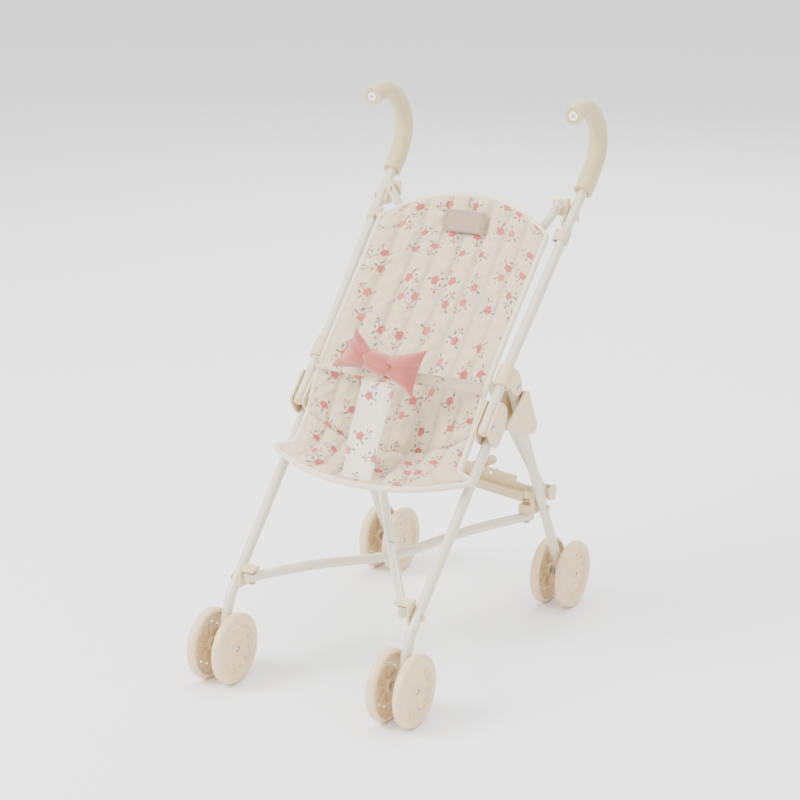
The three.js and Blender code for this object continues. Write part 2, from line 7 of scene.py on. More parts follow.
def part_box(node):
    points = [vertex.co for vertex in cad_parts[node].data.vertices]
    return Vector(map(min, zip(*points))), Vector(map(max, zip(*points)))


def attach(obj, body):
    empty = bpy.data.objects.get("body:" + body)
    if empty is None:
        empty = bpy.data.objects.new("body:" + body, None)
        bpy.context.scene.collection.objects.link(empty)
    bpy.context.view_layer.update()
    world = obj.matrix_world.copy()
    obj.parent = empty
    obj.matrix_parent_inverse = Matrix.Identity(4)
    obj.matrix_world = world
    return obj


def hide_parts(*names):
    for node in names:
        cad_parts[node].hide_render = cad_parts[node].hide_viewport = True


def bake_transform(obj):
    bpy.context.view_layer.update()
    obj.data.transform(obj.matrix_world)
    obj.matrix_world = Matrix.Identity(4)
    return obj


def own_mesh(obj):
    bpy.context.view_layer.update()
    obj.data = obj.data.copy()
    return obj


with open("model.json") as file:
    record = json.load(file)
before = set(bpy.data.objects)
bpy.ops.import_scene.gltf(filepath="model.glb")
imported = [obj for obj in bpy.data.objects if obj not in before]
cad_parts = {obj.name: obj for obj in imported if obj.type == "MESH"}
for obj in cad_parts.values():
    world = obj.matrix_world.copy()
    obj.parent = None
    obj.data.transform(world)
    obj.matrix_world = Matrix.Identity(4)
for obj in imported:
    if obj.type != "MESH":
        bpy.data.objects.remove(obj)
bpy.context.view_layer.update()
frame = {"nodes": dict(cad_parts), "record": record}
record = frame["record"]
print("frame loaded:", len(frame["nodes"]), "nodes")

jointPlace = {j["name"]: Vector(j.get("pos_m", (0, 0, 0))) for j in record["behaviour"]["joints"]}
slotOf = {s["node"]: s["material_slot"] for s in record["subparts"]}


# small helpers

def clearSelection():
    if bpy.context.object and bpy.context.object.mode != "OBJECT":
        bpy.ops.object.mode_set(mode="OBJECT")
    bpy.ops.object.select_all(action="DESELECT")


def pick(obj):
    clearSelection()
    obj.select_set(True)
    bpy.context.view_layer.objects.active = obj


def applyAll(obj):
    pick(obj)
    for modifier in list(obj.modifiers):
        bpy.ops.object.modifier_apply(modifier=modifier.name)


def smooth(obj, degrees=40):
    pick(obj)
    bpy.ops.object.shade_smooth_by_angle(angle=math.radians(degrees))


def settle(obj):
    # place, turn and scale go into the mesh
    pick(obj)
    bpy.ops.object.transform_apply(location=True, rotation=True, scale=True)


def outward(obj):
    pick(obj)
    bpy.ops.object.mode_set(mode="EDIT")
    bpy.ops.mesh.select_all(action="SELECT")
    bpy.ops.mesh.remove_doubles(threshold=0.00002)
    bpy.ops.mesh.normals_make_consistent(inside=False)
    bpy.ops.object.mode_set(mode="OBJECT")


def paint(obj, material):
    obj.data.materials.clear()
    obj.data.materials.append(material)


# camera and lights

cameraSettings = {"lens": 101.0, "azimuth": 29.42, "elevation": 17.52, "distance": 2.2317,
                  "aside": 0.00363, "lift": -0.0359, "aim": (0, -0.01145, 0.29647)}


def placeCamera(s):
    az, el = math.radians(s["azimuth"]), math.radians(s["elevation"])
    back = Vector((math.sin(az) * math.cos(el), -math.cos(az) * math.cos(el), math.sin(el)))
    right = Vector((math.cos(az), math.sin(az), 0))
    up = right.cross(-back)
    spot = Vector(s["aim"]) + back * s["distance"] + right * s["aside"] + up * s["lift"]
    bpy.ops.object.camera_add(location=spot, rotation=(math.radians(90) - el, 0, az))
    camera = bpy.context.object
    camera.data.lens = s["lens"]
    camera.data.sensor_width = 36
    bpy.context.scene.camera = camera


lampSettings = {
    "key": {"at": (-1.5, -1.6, 1.9), "size": 1.3, "power": 120},
    "fill": {"at": (2.0, -1.2, 1.2), "size": 1.8, "power": 24},
    "top": {"at": (0.2, 0.5, 2.4), "size": 2.0, "power": 60},
    "rear": {"at": (-0.6, 2.2, 1.5), "size": 1.4, "power": 26},
}


def placeLamps(lamps):
    for name, s in lamps.items():
        bpy.ops.object.light_add(type="AREA", location=s["at"])
        lamp = bpy.context.object
        lamp.name = name + "Lamp"
        lamp.data.size = s["size"]
        lamp.data.energy = s["power"]
        lamp.rotation_euler = (Vector((0, 0, 0.25)) - Vector(s["at"])).to_track_quat("-Z", "Y").to_euler()
    world = bpy.data.worlds.new("studio")
    bpy.context.scene.world = world
    world.use_nodes = True
    world.node_tree.nodes["Background"].inputs["Color"].default_value = (0.97, 0.98, 1.0, 1)
    world.node_tree.nodes["Background"].inputs["Strength"].default_value = 1.5


# shader node helpers

def addNode(tree, kind, inputs=None, **settings):
    n = tree.nodes.new(kind)
    for key, value in settings.items():
        setattr(n, key, value)
    for key, value in (inputs or {}).items():
        if hasattr(value, "is_output"):
            tree.links.new(value, n.inputs[key])
        else:
            n.inputs[key].default_value = value
    return n


def maths(tree, operation, a, b=0.0, c=None, clamp=False):
    inputs = {0: a, 1: b}
    if c is not None:
        inputs[2] = c
    return addNode(tree, "ShaderNodeMath", inputs, operation=operation, use_clamp=clamp).outputs[0]


def mixColour(tree, factor, a, b, blend="MIX"):
    n = addNode(tree, "ShaderNodeMix", data_type="RGBA", blend_type=blend)
    for i, value in ((0, factor), (6, a), (7, b)):
        if hasattr(value, "is_output"):
            tree.links.new(value, n.inputs[i])
        else:
            n.inputs[i].default_value = value
    return n.outputs[2]


def newGroup(name, ins, outs):
    tree = bpy.data.node_groups.new(name, "ShaderNodeTree")
    for label, kind, value in ins:
        socket = tree.interface.new_socket(label, in_out="INPUT", socket_type=kind)
        if value is not None:
            socket.default_value = value
    for label, kind in outs:
        tree.interface.new_socket(label, in_out="OUTPUT", socket_type=kind)
    return tree, tree.nodes.new("NodeGroupInput"), tree.nodes.new("NodeGroupOutput")


def useGroup(tree, group, inputs):
    n = tree.nodes.new("ShaderNodeGroup")
    n.node_tree = group
    for key, value in inputs.items():
        if hasattr(value, "is_output"):
            tree.links.new(value, n.inputs[key])
        else:
            n.inputs[key].default_value = value
    return n


def grainGroup():
    # fine moulded or painted grain, with broad uneven patches
    t, gin, gout = newGroup("surfaceGrain", [("Grain", "NodeSocketFloat", 900.0),
                            ("Patch", "NodeSocketFloat", 40.0)],
                            [("Height", "NodeSocketFloat"), ("Mask", "NodeSocketFloat")])
    place = addNode(t, "ShaderNodeTexCoord").outputs["Object"]
    fine = addNode(t, "ShaderNodeTexNoise", {"Vector": place, "Scale": gin.outputs["Grain"],
                   "Detail": 3.0, "Roughness": 0.6})
    broad = addNode(t, "ShaderNodeTexNoise", {"Vector": place, "Scale": gin.outputs["Patch"],
                    "Detail": 4.0, "Roughness": 0.65})
    t.links.new(fine.outputs["Fac"], gout.inputs["Height"])
    t.links.new(broad.outputs["Fac"], gout.inputs["Mask"])
    return t


def wearGroup():
    # scuffs in short streaks, stronger near the floor
    t, gin, gout = newGroup("scuffs", [("Amount", "NodeSocketFloat", 0.5)],
                            [("Mask", "NodeSocketFloat")])
    place = addNode(t, "ShaderNodeTexCoord").outputs["Object"]
    low = addNode(t, "ShaderNodeSeparateXYZ", {"Vector": place}).outputs["Z"]
    nearFloor = maths(t, "SUBTRACT", 1.0, maths(t, "MULTIPLY", low, 8.0), clamp=True)
    streak = addNode(t, "ShaderNodeTexNoise", {"Vector": place, "Scale": 160.0, "Detail": 6.0,
                     "Roughness": 0.75, "Distortion": 1.2}).outputs["Fac"]
    spots = maths(t, "MULTIPLY", maths(t, "SUBTRACT", streak, 0.56), 7.0, clamp=True)
    some = maths(t, "ADD", 0.25, nearFloor)
    mask = maths(t, "MULTIPLY", maths(t, "MULTIPLY", spots, some), gin.outputs["Amount"], clamp=True)
    t.links.new(mask, gout.inputs["Mask"])
    return t


def weaveGroup():
    # plain weave: threads over and under along the two ways of the cloth
    t, gin, gout = newGroup("plainWeave", [("Vector", "NodeSocketVector", None),
                            ("Threads", "NodeSocketFloat", 1400.0)],
                            [("Height", "NodeSocketFloat"), ("Slub", "NodeSocketFloat")])
    xyz = addNode(t, "ShaderNodeSeparateXYZ", {"Vector": gin.outputs["Vector"]})
    turns = maths(t, "MULTIPLY", gin.outputs["Threads"], math.pi)
    warp = maths(t, "SINE", maths(t, "MULTIPLY", xyz.outputs["X"], turns))
    weft = maths(t, "SINE", maths(t, "MULTIPLY", xyz.outputs["Y"], turns))
    cross = maths(t, "MULTIPLY", warp, weft)
    slub = addNode(t, "ShaderNodeTexNoise", {"Vector": gin.outputs["Vector"], "Scale": 260.0,
                   "Detail": 4.0, "Roughness": 0.7}).outputs["Fac"]
    height = maths(t, "ADD", maths(t, "MULTIPLY", cross, 0.5), slub)
    t.links.new(height, gout.inputs["Height"])
    t.links.new(slub, gout.inputs["Slub"])
    return t


def sprigGroup():
    # scattered small flowers with leaves and buds, one sprig to a cell
    t, gin, gout = newGroup("flowerSprigs", [("Vector", "NodeSocketVector", None),
                            ("Spacing", "NodeSocketFloat", 0.027), ("Cloth", "NodeSocketColor", None)],
                            [("Color", "NodeSocketColor"), ("Mask", "NodeSocketFloat")])
    scaled = addNode(t, "ShaderNodeVectorMath", {0: gin.outputs["Vector"]}, operation="SCALE")
    t.links.new(maths(t, "DIVIDE", 1.0, gin.outputs["Spacing"]), scaled.inputs["Scale"])
    cells = addNode(t, "ShaderNodeTexVoronoi", {"Vector": scaled.outputs[0], "Scale": 1.0,
                    "Randomness": 0.62}, voronoi_dimensions="2D")
    offset = addNode(t, "ShaderNodeVectorMath", {0: scaled.outputs[0], 1: cells.outputs["Position"]},
                     operation="SUBTRACT")
    xy = addNode(t, "ShaderNodeSeparateXYZ", {"Vector": offset.outputs[0]})
    luck = addNode(t, "ShaderNodeSeparateColor", {"Color": cells.outputs["Color"]})
    wobble = addNode(t, "ShaderNodeTexNoise", {"Vector": scaled.outputs[0], "Scale": 9.0,
                     "Detail": 2.0}).outputs["Fac"]
    angle = maths(t, "ADD", maths(t, "ARCTAN2", xy.outputs["Y"], xy.outputs["X"]),
                  maths(t, "MULTIPLY", luck.outputs["Red"], 2 * math.pi))
    reach = maths(t, "ADD", cells.outputs["Distance"],
                  maths(t, "MULTIPLY", maths(t, "SUBTRACT", wobble, 0.5), 0.07))
    x = maths(t, "MULTIPLY", reach, maths(t, "COSINE", angle))
    y = maths(t, "MULTIPLY", reach, maths(t, "SINE", angle))

    def blob(cx, cy, rx, ry):
        dx = maths(t, "DIVIDE", maths(t, "SUBTRACT", x, cx), rx)
        dy = maths(t, "DIVIDE", maths(t, "SUBTRACT", y, cy), ry)
        far = maths(t, "ADD", maths(t, "MULTIPLY", dx, dx), maths(t, "MULTIPLY", dy, dy))
        return maths(t, "MULTIPLY", maths(t, "SUBTRACT", 1.0, far), 3.0, clamp=True)

    def most(*masks):
        total = masks[0]
        for m in masks[1:]:
            total = maths(t, "MAXIMUM", total, m)
        return total

    petals = maths(t, "ADD", 0.165, maths(t, "MULTIPLY", maths(t, "COSINE",
                   maths(t, "MULTIPLY", angle, 5.0)), 0.018))
    flower = maths(t, "MULTIPLY", maths(t, "SUBTRACT", petals, reach), 40.0, clamp=True)
    whorl = maths(t, "SINE", maths(t, "ADD", maths(t, "MULTIPLY", reach, 70.0), angle))
    heart = maths(t, "MULTIPLY", maths(t, "MULTIPLY", whorl, 1.6, clamp=True), flower)
    leaves = most(blob(0.27, 0.02, 0.11, 0.035), blob(0.20, -0.19, 0.04, 0.09),
                  blob(-0.23, 0.12, 0.08, 0.04), blob(0.05, -0.29, 0.018, 0.15),
                  blob(-0.05, -0.33, 0.07, 0.028), blob(0.14, -0.34, 0.06, 0.024))
    buds = most(blob(0.05, -0.43, 0.06, 0.055), blob(0.24, 0.20, 0.05, 0.045))
    hue = addNode(t, "ShaderNodeValToRGB", {"Fac": luck.outputs["Green"]})
    ramp = hue.color_ramp
    ramp.elements[0].color = (0.44, 0.04, 0.025, 1)
    ramp.elements[1].color = (0.56, 0.11, 0.07, 1)
    middle = ramp.elements.new(0.5)
    middle.color = (0.34, 0.015, 0.02, 1)
    leafHue = mixColour(t, luck.outputs["Blue"], (0.04, 0.07, 0.04, 1), (0.03, 0.055, 0.12, 1))
    colour = mixColour(t, maths(t, "MULTIPLY", leaves, 0.82), gin.outputs["Cloth"], leafHue)
    colour = mixColour(t, maths(t, "MULTIPLY", buds, 0.85), colour, (0.48, 0.05, 0.035, 1))
    colour = mixColour(t, maths(t, "MULTIPLY", flower, 0.9), colour, hue.outputs["Color"])
    colour = mixColour(t, maths(t, "MULTIPLY", heart, 0.42), colour, (0.66, 0.22, 0.16, 1))
    t.links.new(colour, gout.inputs["Color"])
    t.links.new(most(leaves, buds, flower), gout.inputs["Mask"])
    return t


surfaceGrain, scuffs, plainWeave, flowerSprigs = grainGroup(), wearGroup(), weaveGroup(), sprigGroup()


def startMaterial(name):
    material = bpy.data.materials.new(name)
    material.use_nodes = True
    tree = material.node_tree
    return material, tree, tree.nodes["Principled BSDF"]


def bumpFrom(tree, shader, height, strength, distance):
    bump = addNode(tree, "ShaderNodeBump", {"Height": height, "Strength": strength,
                   "Distance": distance})
    tree.links.new(bump.outputs["Normal"], shader.inputs["Normal"])


# hard finishes: colour, a second tone for the patches, roughness low and high, grain and its bump
finishes = {
    "frame_paint": {"colour": (0.68, 0.62, 0.48), "tone": (0.62, 0.56, 0.42), "rough": (0.22, 0.38),
                    "grain": 700.0, "bump": 0.05, "coat": 0.35, "scuff": 0.35,
                    "scuffColour": (0.45, 0.42, 0.36)},
    "joint_plastic": {"colour": (0.72, 0.56, 0.33), "tone": (0.67, 0.51, 0.28), "rough": (0.34, 0.5),
                      "grain": 1300.0, "bump": 0.10, "coat": 0.0, "scuff": 0.4,
                      "scuffColour": (0.62, 0.52, 0.38)},
    "wheel_plastic": {"colour": (0.73, 0.56, 0.33), "tone": (0.68, 0.51, 0.28), "rough": (0.36, 0.55),
                      "grain": 1100.0, "bump": 0.12, "coat": 0.0, "scuff": 0.6,
                      "scuffColour": (0.55, 0.46, 0.34)},
    "plug_plastic": {"colour": (0.88, 0.87, 0.83), "tone": (0.84, 0.83, 0.78), "rough": (0.2, 0.32),
                     "grain": 900.0, "bump": 0.05, "coat": 0.2, "scuff": 0.2,
                     "scuffColour": (0.5, 0.48, 0.44)},
}


def hardMaterial(name, s):
    material, tree, shader = startMaterial(name)
    grain = useGroup(tree, surfaceGrain, {"Grain": s["grain"], "Patch": 28.0})
    wear = useGroup(tree, scuffs, {"Amount": s["scuff"]})
    tint = mixColour(tree, grain.outputs["Mask"], (*s["colour"], 1), (*s["tone"], 1))
    worn = mixColour(tree, wear.outputs["Mask"], tint, (*s["scuffColour"], 1))
    tree.links.new(worn, shader.inputs["Base Color"])
    low, high = s["rough"]
    rough = maths(tree, "MULTIPLY_ADD", grain.outputs["Mask"], high - low, low)
    tree.links.new(maths(tree, "ADD", rough, maths(tree, "MULTIPLY", wear.outputs["Mask"], 0.2)),
                   shader.inputs["Roughness"])
    shader.inputs["Coat Weight"].default_value = s["coat"]
    shader.inputs["Coat Roughness"].default_value = 0.15
    bumpFrom(tree, shader, grain.outputs["Height"], s["bump"], 0.0004)
    return material


def foamMaterial():
    # closed-cell foam: tiny pores, very matt, soft mottling
    material, tree, shader = startMaterial("gripFoam")
    grain = useGroup(tree, surfaceGrain, {"Grain": 1700.0, "Patch": 60.0})
    place = addNode(tree, "ShaderNodeTexCoord").outputs["Object"]
    pores = addNode(tree, "ShaderNodeTexVoronoi", {"Vector": place, "Scale": 900.0}).outputs["Distance"]
    tint = mixColour(tree, grain.outputs["Mask"], (0.58, 0.49, 0.25, 1), (0.50, 0.41, 0.19, 1))
    # painted shade: the pore centres are darkened as if shadow sat inside each cell
    paintedPoreShade = mixColour(tree, maths(tree, "MULTIPLY", maths(tree, "SUBTRACT", 0.35, pores), 1.6, clamp=True),
                     tint, (0.46, 0.40, 0.27, 1))
    tree.links.new(paintedPoreShade, shader.inputs["Base Color"])
    tree.links.new(maths(tree, "MULTIPLY_ADD", grain.outputs["Height"], 0.2, 0.72),
                   shader.inputs["Roughness"])
    shader.inputs["Sheen Weight"].default_value = 0.25
    bumpFrom(tree, shader, maths(tree, "ADD", pores, grain.outputs["Height"]), 0.35, 0.0006)
    return material


def steelMaterial():
    material, tree, shader = startMaterial("rivetSteel")
    grain = useGroup(tree, surfaceGrain, {"Grain": 1600.0, "Patch": 220.0})
    tint = mixColour(tree, grain.outputs["Mask"], (0.62, 0.63, 0.64, 1), (0.48, 0.48, 0.48, 1))
    tree.links.new(tint, shader.inputs["Base Color"])
    shader.inputs["Metallic"].default_value = 1.0
    tree.links.new(maths(tree, "MULTIPLY_ADD", grain.outputs["Height"], 0.25, 0.2),
                   shader.inputs["Roughness"])
    bumpFrom(tree, shader, grain.outputs["Height"], 0.08, 0.0002)
    return material


def clothMaterial(name, ground, tone, printed, threads=1500.0, bump=0.3, sheen=0.2):
    material, tree, shader = startMaterial(name)
    uv = addNode(tree, "ShaderNodeUVMap", uv_map="clothMap").outputs["UV"]
    weave = useGroup(tree, plainWeave, {"Vector": uv, "Threads": threads})
    cloth = mixColour(tree, weave.outputs["Slub"], (*ground, 1), (*tone, 1))
    if printed:
        sprigs = useGroup(tree, flowerSprigs, {"Vector": uv, "Spacing": 0.0285})
        tree.links.new(cloth, sprigs.inputs["Cloth"])
        cloth = sprigs.outputs["Color"]
    # the seams hold a little shade
    shade = addNode(tree, "ShaderNodeAttribute", attribute_name="seamShade").outputs["Fac"]
    cloth = mixColour(tree, maths(tree, "MULTIPLY", shade, 0.45), cloth, (*[c * 0.62 for c in tone], 1))
    tree.links.new(cloth, shader.inputs["Base Color"])
    tree.links.new(maths(tree, "MULTIPLY_ADD", weave.outputs["Slub"], 0.15, 0.74), shader.inputs["Roughness"])
    shader.inputs["Sheen Weight"].default_value = sheen
    shader.inputs["Sheen Roughness"].default_value = 0.5
    bumpFrom(tree, shader, weave.outputs["Height"], bump, 0.0003)
    return material


looks = {name: hardMaterial(name, s) for name, s in finishes.items()}
looks["grip_foam"] = foamMaterial()
looks["rivet_steel"] = steelMaterial()
# painted shade and painted light: the seat's cotton ground is painted darker for the shade inside the seat,
# and the strap's copy of the same print is painted lighter, as if in full light
shadeDarkenedCotton = clothMaterial("printedCotton", (0.66, 0.535, 0.37), (0.57, 0.45, 0.30), True)
litStrapCotton = clothMaterial("litStrapCotton", (0.80, 0.72, 0.585), (0.74, 0.655, 0.515), True)
ribbonCloth = clothMaterial("bowRibbon", (0.50, 0.12, 0.085), (0.40, 0.085, 0.06), False, 2400.0, 0.35, 0.5)
labelWeave = clothMaterial("labelCloth", (0.40, 0.285, 0.20), (0.32, 0.22, 0.155), False, 1500.0, 0.6, 0.2)
print("materials made")


# frame pieces kept as they were built

def dressFrame():
    # loose faces are welded, hard edges get a fine round, and the tubes shade smooth
    for name, obj in frame["nodes"].items():
        look = looks.get(slotOf[name])
        if not look:
            continue
        obj.data.materials.clear()
        obj.data.materials.append(look)
        for polygon in obj.data.polygons:
            polygon.use_smooth = True
        weld = obj.modifiers.new("weld", "WELD")
        weld.merge_threshold = 0.00002
        bevel = obj.modifiers.new("edges", "BEVEL")
        bevel.width = 0.0004
        bevel.segments = 2
        bevel.limit_method = "ANGLE"
        bevel.angle_limit = math.radians(38)
        normals = obj.modifiers.new("normals", "WEIGHTED_NORMAL")
        normals.keep_sharp = True


dressFrame()
print("frame dressed")

# wheels

# across is measured from the side that faces the leg, in mm; the profile runs round the section
wheelSettings = {
    "slots": 12, "slotRadius": 21.3, "slot": (4.6, 1.9), "ribs": 6,
    "profile": [(3.3, 9.2), (5.6, 9.2), (6.2, 8.5), (6.8, 7.7), (23.6, 7.7), (24.6, 8.1), (25.4, 10.2),
                (26.2, 10.8), (31.6, 10.8), (33.6, 10.5), (35.0, 9.5), (35.8, 8.0), (36.0, 6.6),
                (36.0, 4.2), (35.8, 2.8), (35.0, 1.3), (33.8, 0.4), (32.6, 0.1), (31.8, 0.4),
                (31.2, 1.4), (30.6, 5.4), (29.0, 6.1), (8.2, 6.1), (7.4, 5.6), (7.0, 1.6), (6.6, 1.0),
                (3.3, 1.0)],
}


def makeWheel(s):
    # the section is spun round the axle, the slots are cut, and ribs stand in the hollow side
    clearSelection()
    bpy.ops.mesh.primitive_circle_add(vertices=len(s["profile"]), radius=1)
    wheel = bpy.context.object
    for v, (r, a) in zip(wheel.data.vertices, s["profile"]):
        v.co = Vector((a, 0, r)) / 1000
    bpy.ops.object.mode_set(mode="EDIT")
    bpy.ops.mesh.select_all(action="SELECT")
    bpy.ops.mesh.spin(steps=72, angle=2 * math.pi, center=(0, 0, 0), axis=(1, 0, 0))
    bpy.ops.object.mode_set(mode="OBJECT")
    outward(wheel)
    cutters = []
    for k in range(s["slots"]):
        a = 2 * math.pi * (k + 0.5) / s["slots"]
        spot = Vector((0.0069, math.sin(a) * s["slotRadius"] / 1000, math.cos(a) * s["slotRadius"] / 1000))
        clearSelection()
        bpy.ops.mesh.primitive_cube_add(size=1, location=spot, rotation=(-a, 0, 0))
        cutter = bpy.context.object
        cutter.scale = (0.006, s["slot"][0] / 1000, s["slot"][1] / 1000)
        settle(cutter)
        rounding = cutter.modifiers.new("round", "BEVEL")
        rounding.width = 0.0008
        rounding.segments = 3
        applyAll(cutter)
        cutters.append(cutter)
    clearSelection()
    for cutter in cutters:
        cutter.select_set(True)
    bpy.context.view_layer.objects.active = cutters[0]
    bpy.ops.object.join()
    cut = wheel.modifiers.new("slots", "BOOLEAN")
    cut.operation = "DIFFERENCE"
    cut.solver = "EXACT"
    cut.object = cutters[0]
    applyAll(wheel)
    bpy.data.objects.remove(cutters[0])
    ribs = []
    for k in range(s["ribs"]):
        a = 2 * math.pi * k / s["ribs"]
        clearSelection()
        bpy.ops.mesh.primitive_cube_add(size=1, location=(0.0046, math.sin(a) * 0.0128, math.cos(a) * 0.0128),
                                        rotation=(-a, 0, 0))
        rib = bpy.context.object
        rib.scale = (0.0034, 0.0013, 0.0125)
        settle(rib)
        edge = rib.modifiers.new("edge", "BEVEL")
        edge.width = 0.0003
        edge.segments = 2
        applyAll(rib)
        ribs.append(rib)
    clearSelection()
    for piece in (wheel, *ribs):
        piece.select_set(True)
    bpy.context.view_layer.objects.active = wheel
    bpy.ops.object.join()
    smooth(wheel, 34)
    return wheel


def setWheels(s):
    pattern = makeWheel(s)
    for end in ("front", "rear"):
        for place in ("outer", "inner"):
            for side in ("left", "right"):
                node = end + "_wheel_" + place + "_" + side
                low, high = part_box(node)
                facing = (1 if side == "right" else -1) * (1 if place == "outer" else -1)
                clearSelection()
                wheel = pattern.copy()
                wheel.data = pattern.data.copy()
                bpy.context.scene.collection.objects.link(wheel)
                wheel.name = end + place.capitalize() + "Wheel" + side.capitalize()
                legSide = low.x if facing > 0 else high.x
                turn = Matrix.Rotation(0 if facing > 0 else math.pi, 4, "Z")
                wheel.data.transform(Matrix.Translation((legSide, (low.y + high.y) / 2, 0.036)) @ turn)
                paint(wheel, looks["wheel_plastic"])
                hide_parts(node)
                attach(wheel, node)
    bpy.data.objects.remove(pattern)


setWheels(wheelSettings)
print("wheels set")

# the fabric seat

# along and below are measured from the lower end of the handles, in the plane of the two handles
seatSettings = {
    "tilt": 44.66, "footAlong": 0.007, "channels": 8, "thick": 0.0042, "puff": 0.0042,
    "backCentre": [(-29, 25), (8, 17), (48, 10.5), (96, 9.5), (143, 8), (190, 7.5), (224, 4.5), (262, -7.5)],
    "backEdge": [(-6, 6), (14, 0), (48, -6.5), (90, -8), (130, -8), (168, -8), (200, -8), (224, -8)],
    "panCentre": [(-81, 194.5), (-60, 199), (-38, 203), (-19.1, 207.5)],
    "panEdge": [(-50, 206), (-40, 213.5), (-30, 222.5), (-16.2, 237.2)],
}
handleEnd = jointPlace["front_leg_swing_left"]          # where the handles' lower ends pivot
depthShift = handleEnd.y * 1000 + 11.224                # the frame's middle against the seat's own numbers


def sidePoint(along, below):
    t = math.radians(seatSettings["tilt"])
    a = along / 1000 - seatSettings["footAlong"]
    b = below / 1000
    return (handleEnd.y + a * math.cos(t) + b * math.sin(t),
            handleEnd.z + a * math.sin(t) - b * math.cos(t))


def rowAt(rows, v):
    t = max(0, min(1, v)) * (len(rows) - 1)
    k = min(int(t), len(rows) - 2)
    f = t - k
    # smooth path through the rows
    a, b = rows[k], rows[k + 1]
    before, after = rows[max(k - 1, 0)], rows[min(k + 2, len(rows) - 1)]
    out = []
    for i in range(2):
        m0, m1 = (b[i] - before[i]) / 2, (after[i] - a[i]) / 2
        out.append((2 * f**3 - 3 * f**2 + 1) * a[i] + (f**3 - 2 * f**2 + f) * m0
                   + (-2 * f**3 + 3 * f**2) * b[i] + (f**3 - f**2) * m1)
    return out


def blendRows(centre, edge, u, v):
    a, b = rowAt(centre, v), rowAt(edge, v)
    s = min(1, abs(u)) ** 2.2
    return a[0] * (1 - s) + b[0] * s, a[1] * (1 - s) + b[1] * s


def backPlace(u, v):
    y, z = sidePoint(*blendRows(seatSettings["backCentre"], seatSettings["backEdge"], u, v))
    return Vector((u * (93.5 + 3 * v) / 1000, y, z))


def panPlace(u, v):
    y, z = blendRows(seatSettings["panCentre"], seatSettings["panEdge"], u, v)
    s = max(0, min(1, (0.3 - v) / 0.3))
    half = 93 + 19 * s * s * (3 - 2 * s)
    return Vector((u * half / 1000, (y + depthShift) / 1000, z / 1000))


def normalAt(place, u, v):
    e = 0.012
    du = place(min(u + e, 1), v) - place(max(u - e, -1), v)
    dv = place(u, min(v + e, 1)) - place(u, max(v - e, 0))
    return du.cross(dv).normalized()


def markCloth(obj, coords, shades=None):
    # a flat map of the cloth in metres, and the shade that gathers in its seams
    mesh = obj.data
    clothMap = mesh.uv_layers.get("clothMap") or mesh.uv_layers.new(name="clothMap")
    for loop in mesh.loops:
        clothMap.data[loop.index].uv = coords[loop.vertex_index]
    if shades:
        tone = mesh.attributes.get("seamShade") or mesh.attributes.new("seamShade", "FLOAT", "POINT")
        tone.data.foreach_set("value", shades)


def quiltPanel(name, place, columns, rows, length, shift, flip):
    # a grid is laid on the seat's line, thickened, and puffed between its sewn channels
    s = seatSettings
    clearSelection()
    bpy.ops.mesh.primitive_grid_add(x_subdivisions=columns, y_subdivisions=rows, size=2)
    obj = bpy.context.object
    obj.name = name
    spots = [(v.co.x, (v.co.y + 1) / 2) for v in obj.data.vertices]
    markCloth(obj, [(u * 0.097, v * length + shift) for u, v in spots])
    gridPlace = obj.data.attributes.new("grain", "FLOAT_VECTOR", "POINT")
    gridPlace.data.foreach_set("vector", [c for u, v in spots for c in (u, v, 0.0)])
    for v, (a, b) in zip(obj.data.vertices, spots):
        v.co = place(a, b)
    wall = obj.modifiers.new("wall", "SOLIDIFY")
    wall.thickness = s["thick"]
    wall.offset = 0
    applyAll(obj)
    mesh = obj.data
    places = [tuple(d.vector) for d in mesh.attributes["grain"].data]
    shades, pinned = [], []
    for v, (a, b, _) in zip(mesh.vertices, places):
        n = normalAt(place, a, b)
        front = 1 if (v.co - place(a, b)).dot(n) > 0 else -1
        wave = abs(math.sin(math.pi * s["channels"] * (a + 1) / 2))
        edge = min(1, (1 - abs(a)) / 0.06) * min(1, b / 0.05 if b < 0.5 else (1 - b) / 0.05)
        soft = 1 + 0.35 * noise.noise(Vector((a * 9, b * 26, front)))
        crown = wave ** 0.62 * max(0, edge) ** 0.5
        v.co += n * front * s["puff"] * crown * soft * (0.72 if front * flip < 0 else 1)
        # crosswise puckers run out from each seam
        pucker = noise.noise(Vector((a * 14, b * 60, 3.1))) * (1 - wave) * 0.0012
        v.co += n * pucker * max(0, edge)
        shades.append(max(0.0, 1 - wave * 2.4) * 0.8 + 0.25 * (1 - max(0, edge)))
        pinned.append(wave < 0.16 or edge < 0.35)
    tone = mesh.attributes.new("seamShade", "FLOAT", "POINT")
    tone.data.foreach_set("value", shades)
    pillow(obj, [i for i, p in enumerate(pinned) if p])
    fine = obj.modifiers.new("fine", "SUBSURF")
    fine.levels = fine.render_levels = 1
    applyAll(obj)
    outwardOnly(obj)
    smooth(obj, 80)
    # the seat wears the cotton whose ground is painted darker for shade
    paint(obj, shadeDarkenedCotton)
    return obj


def outwardOnly(obj):
    pick(obj)
    bpy.ops.object.mode_set(mode="EDIT")
    bpy.ops.mesh.select_all(action="SELECT")
    bpy.ops.mesh.normals_make_consistent(inside=False)
    bpy.ops.object.mode_set(mode="OBJECT")


fillingSettings = {"pressure": 3.2, "shrink": -0.035, "frames": 14, "reach": 0.0042}


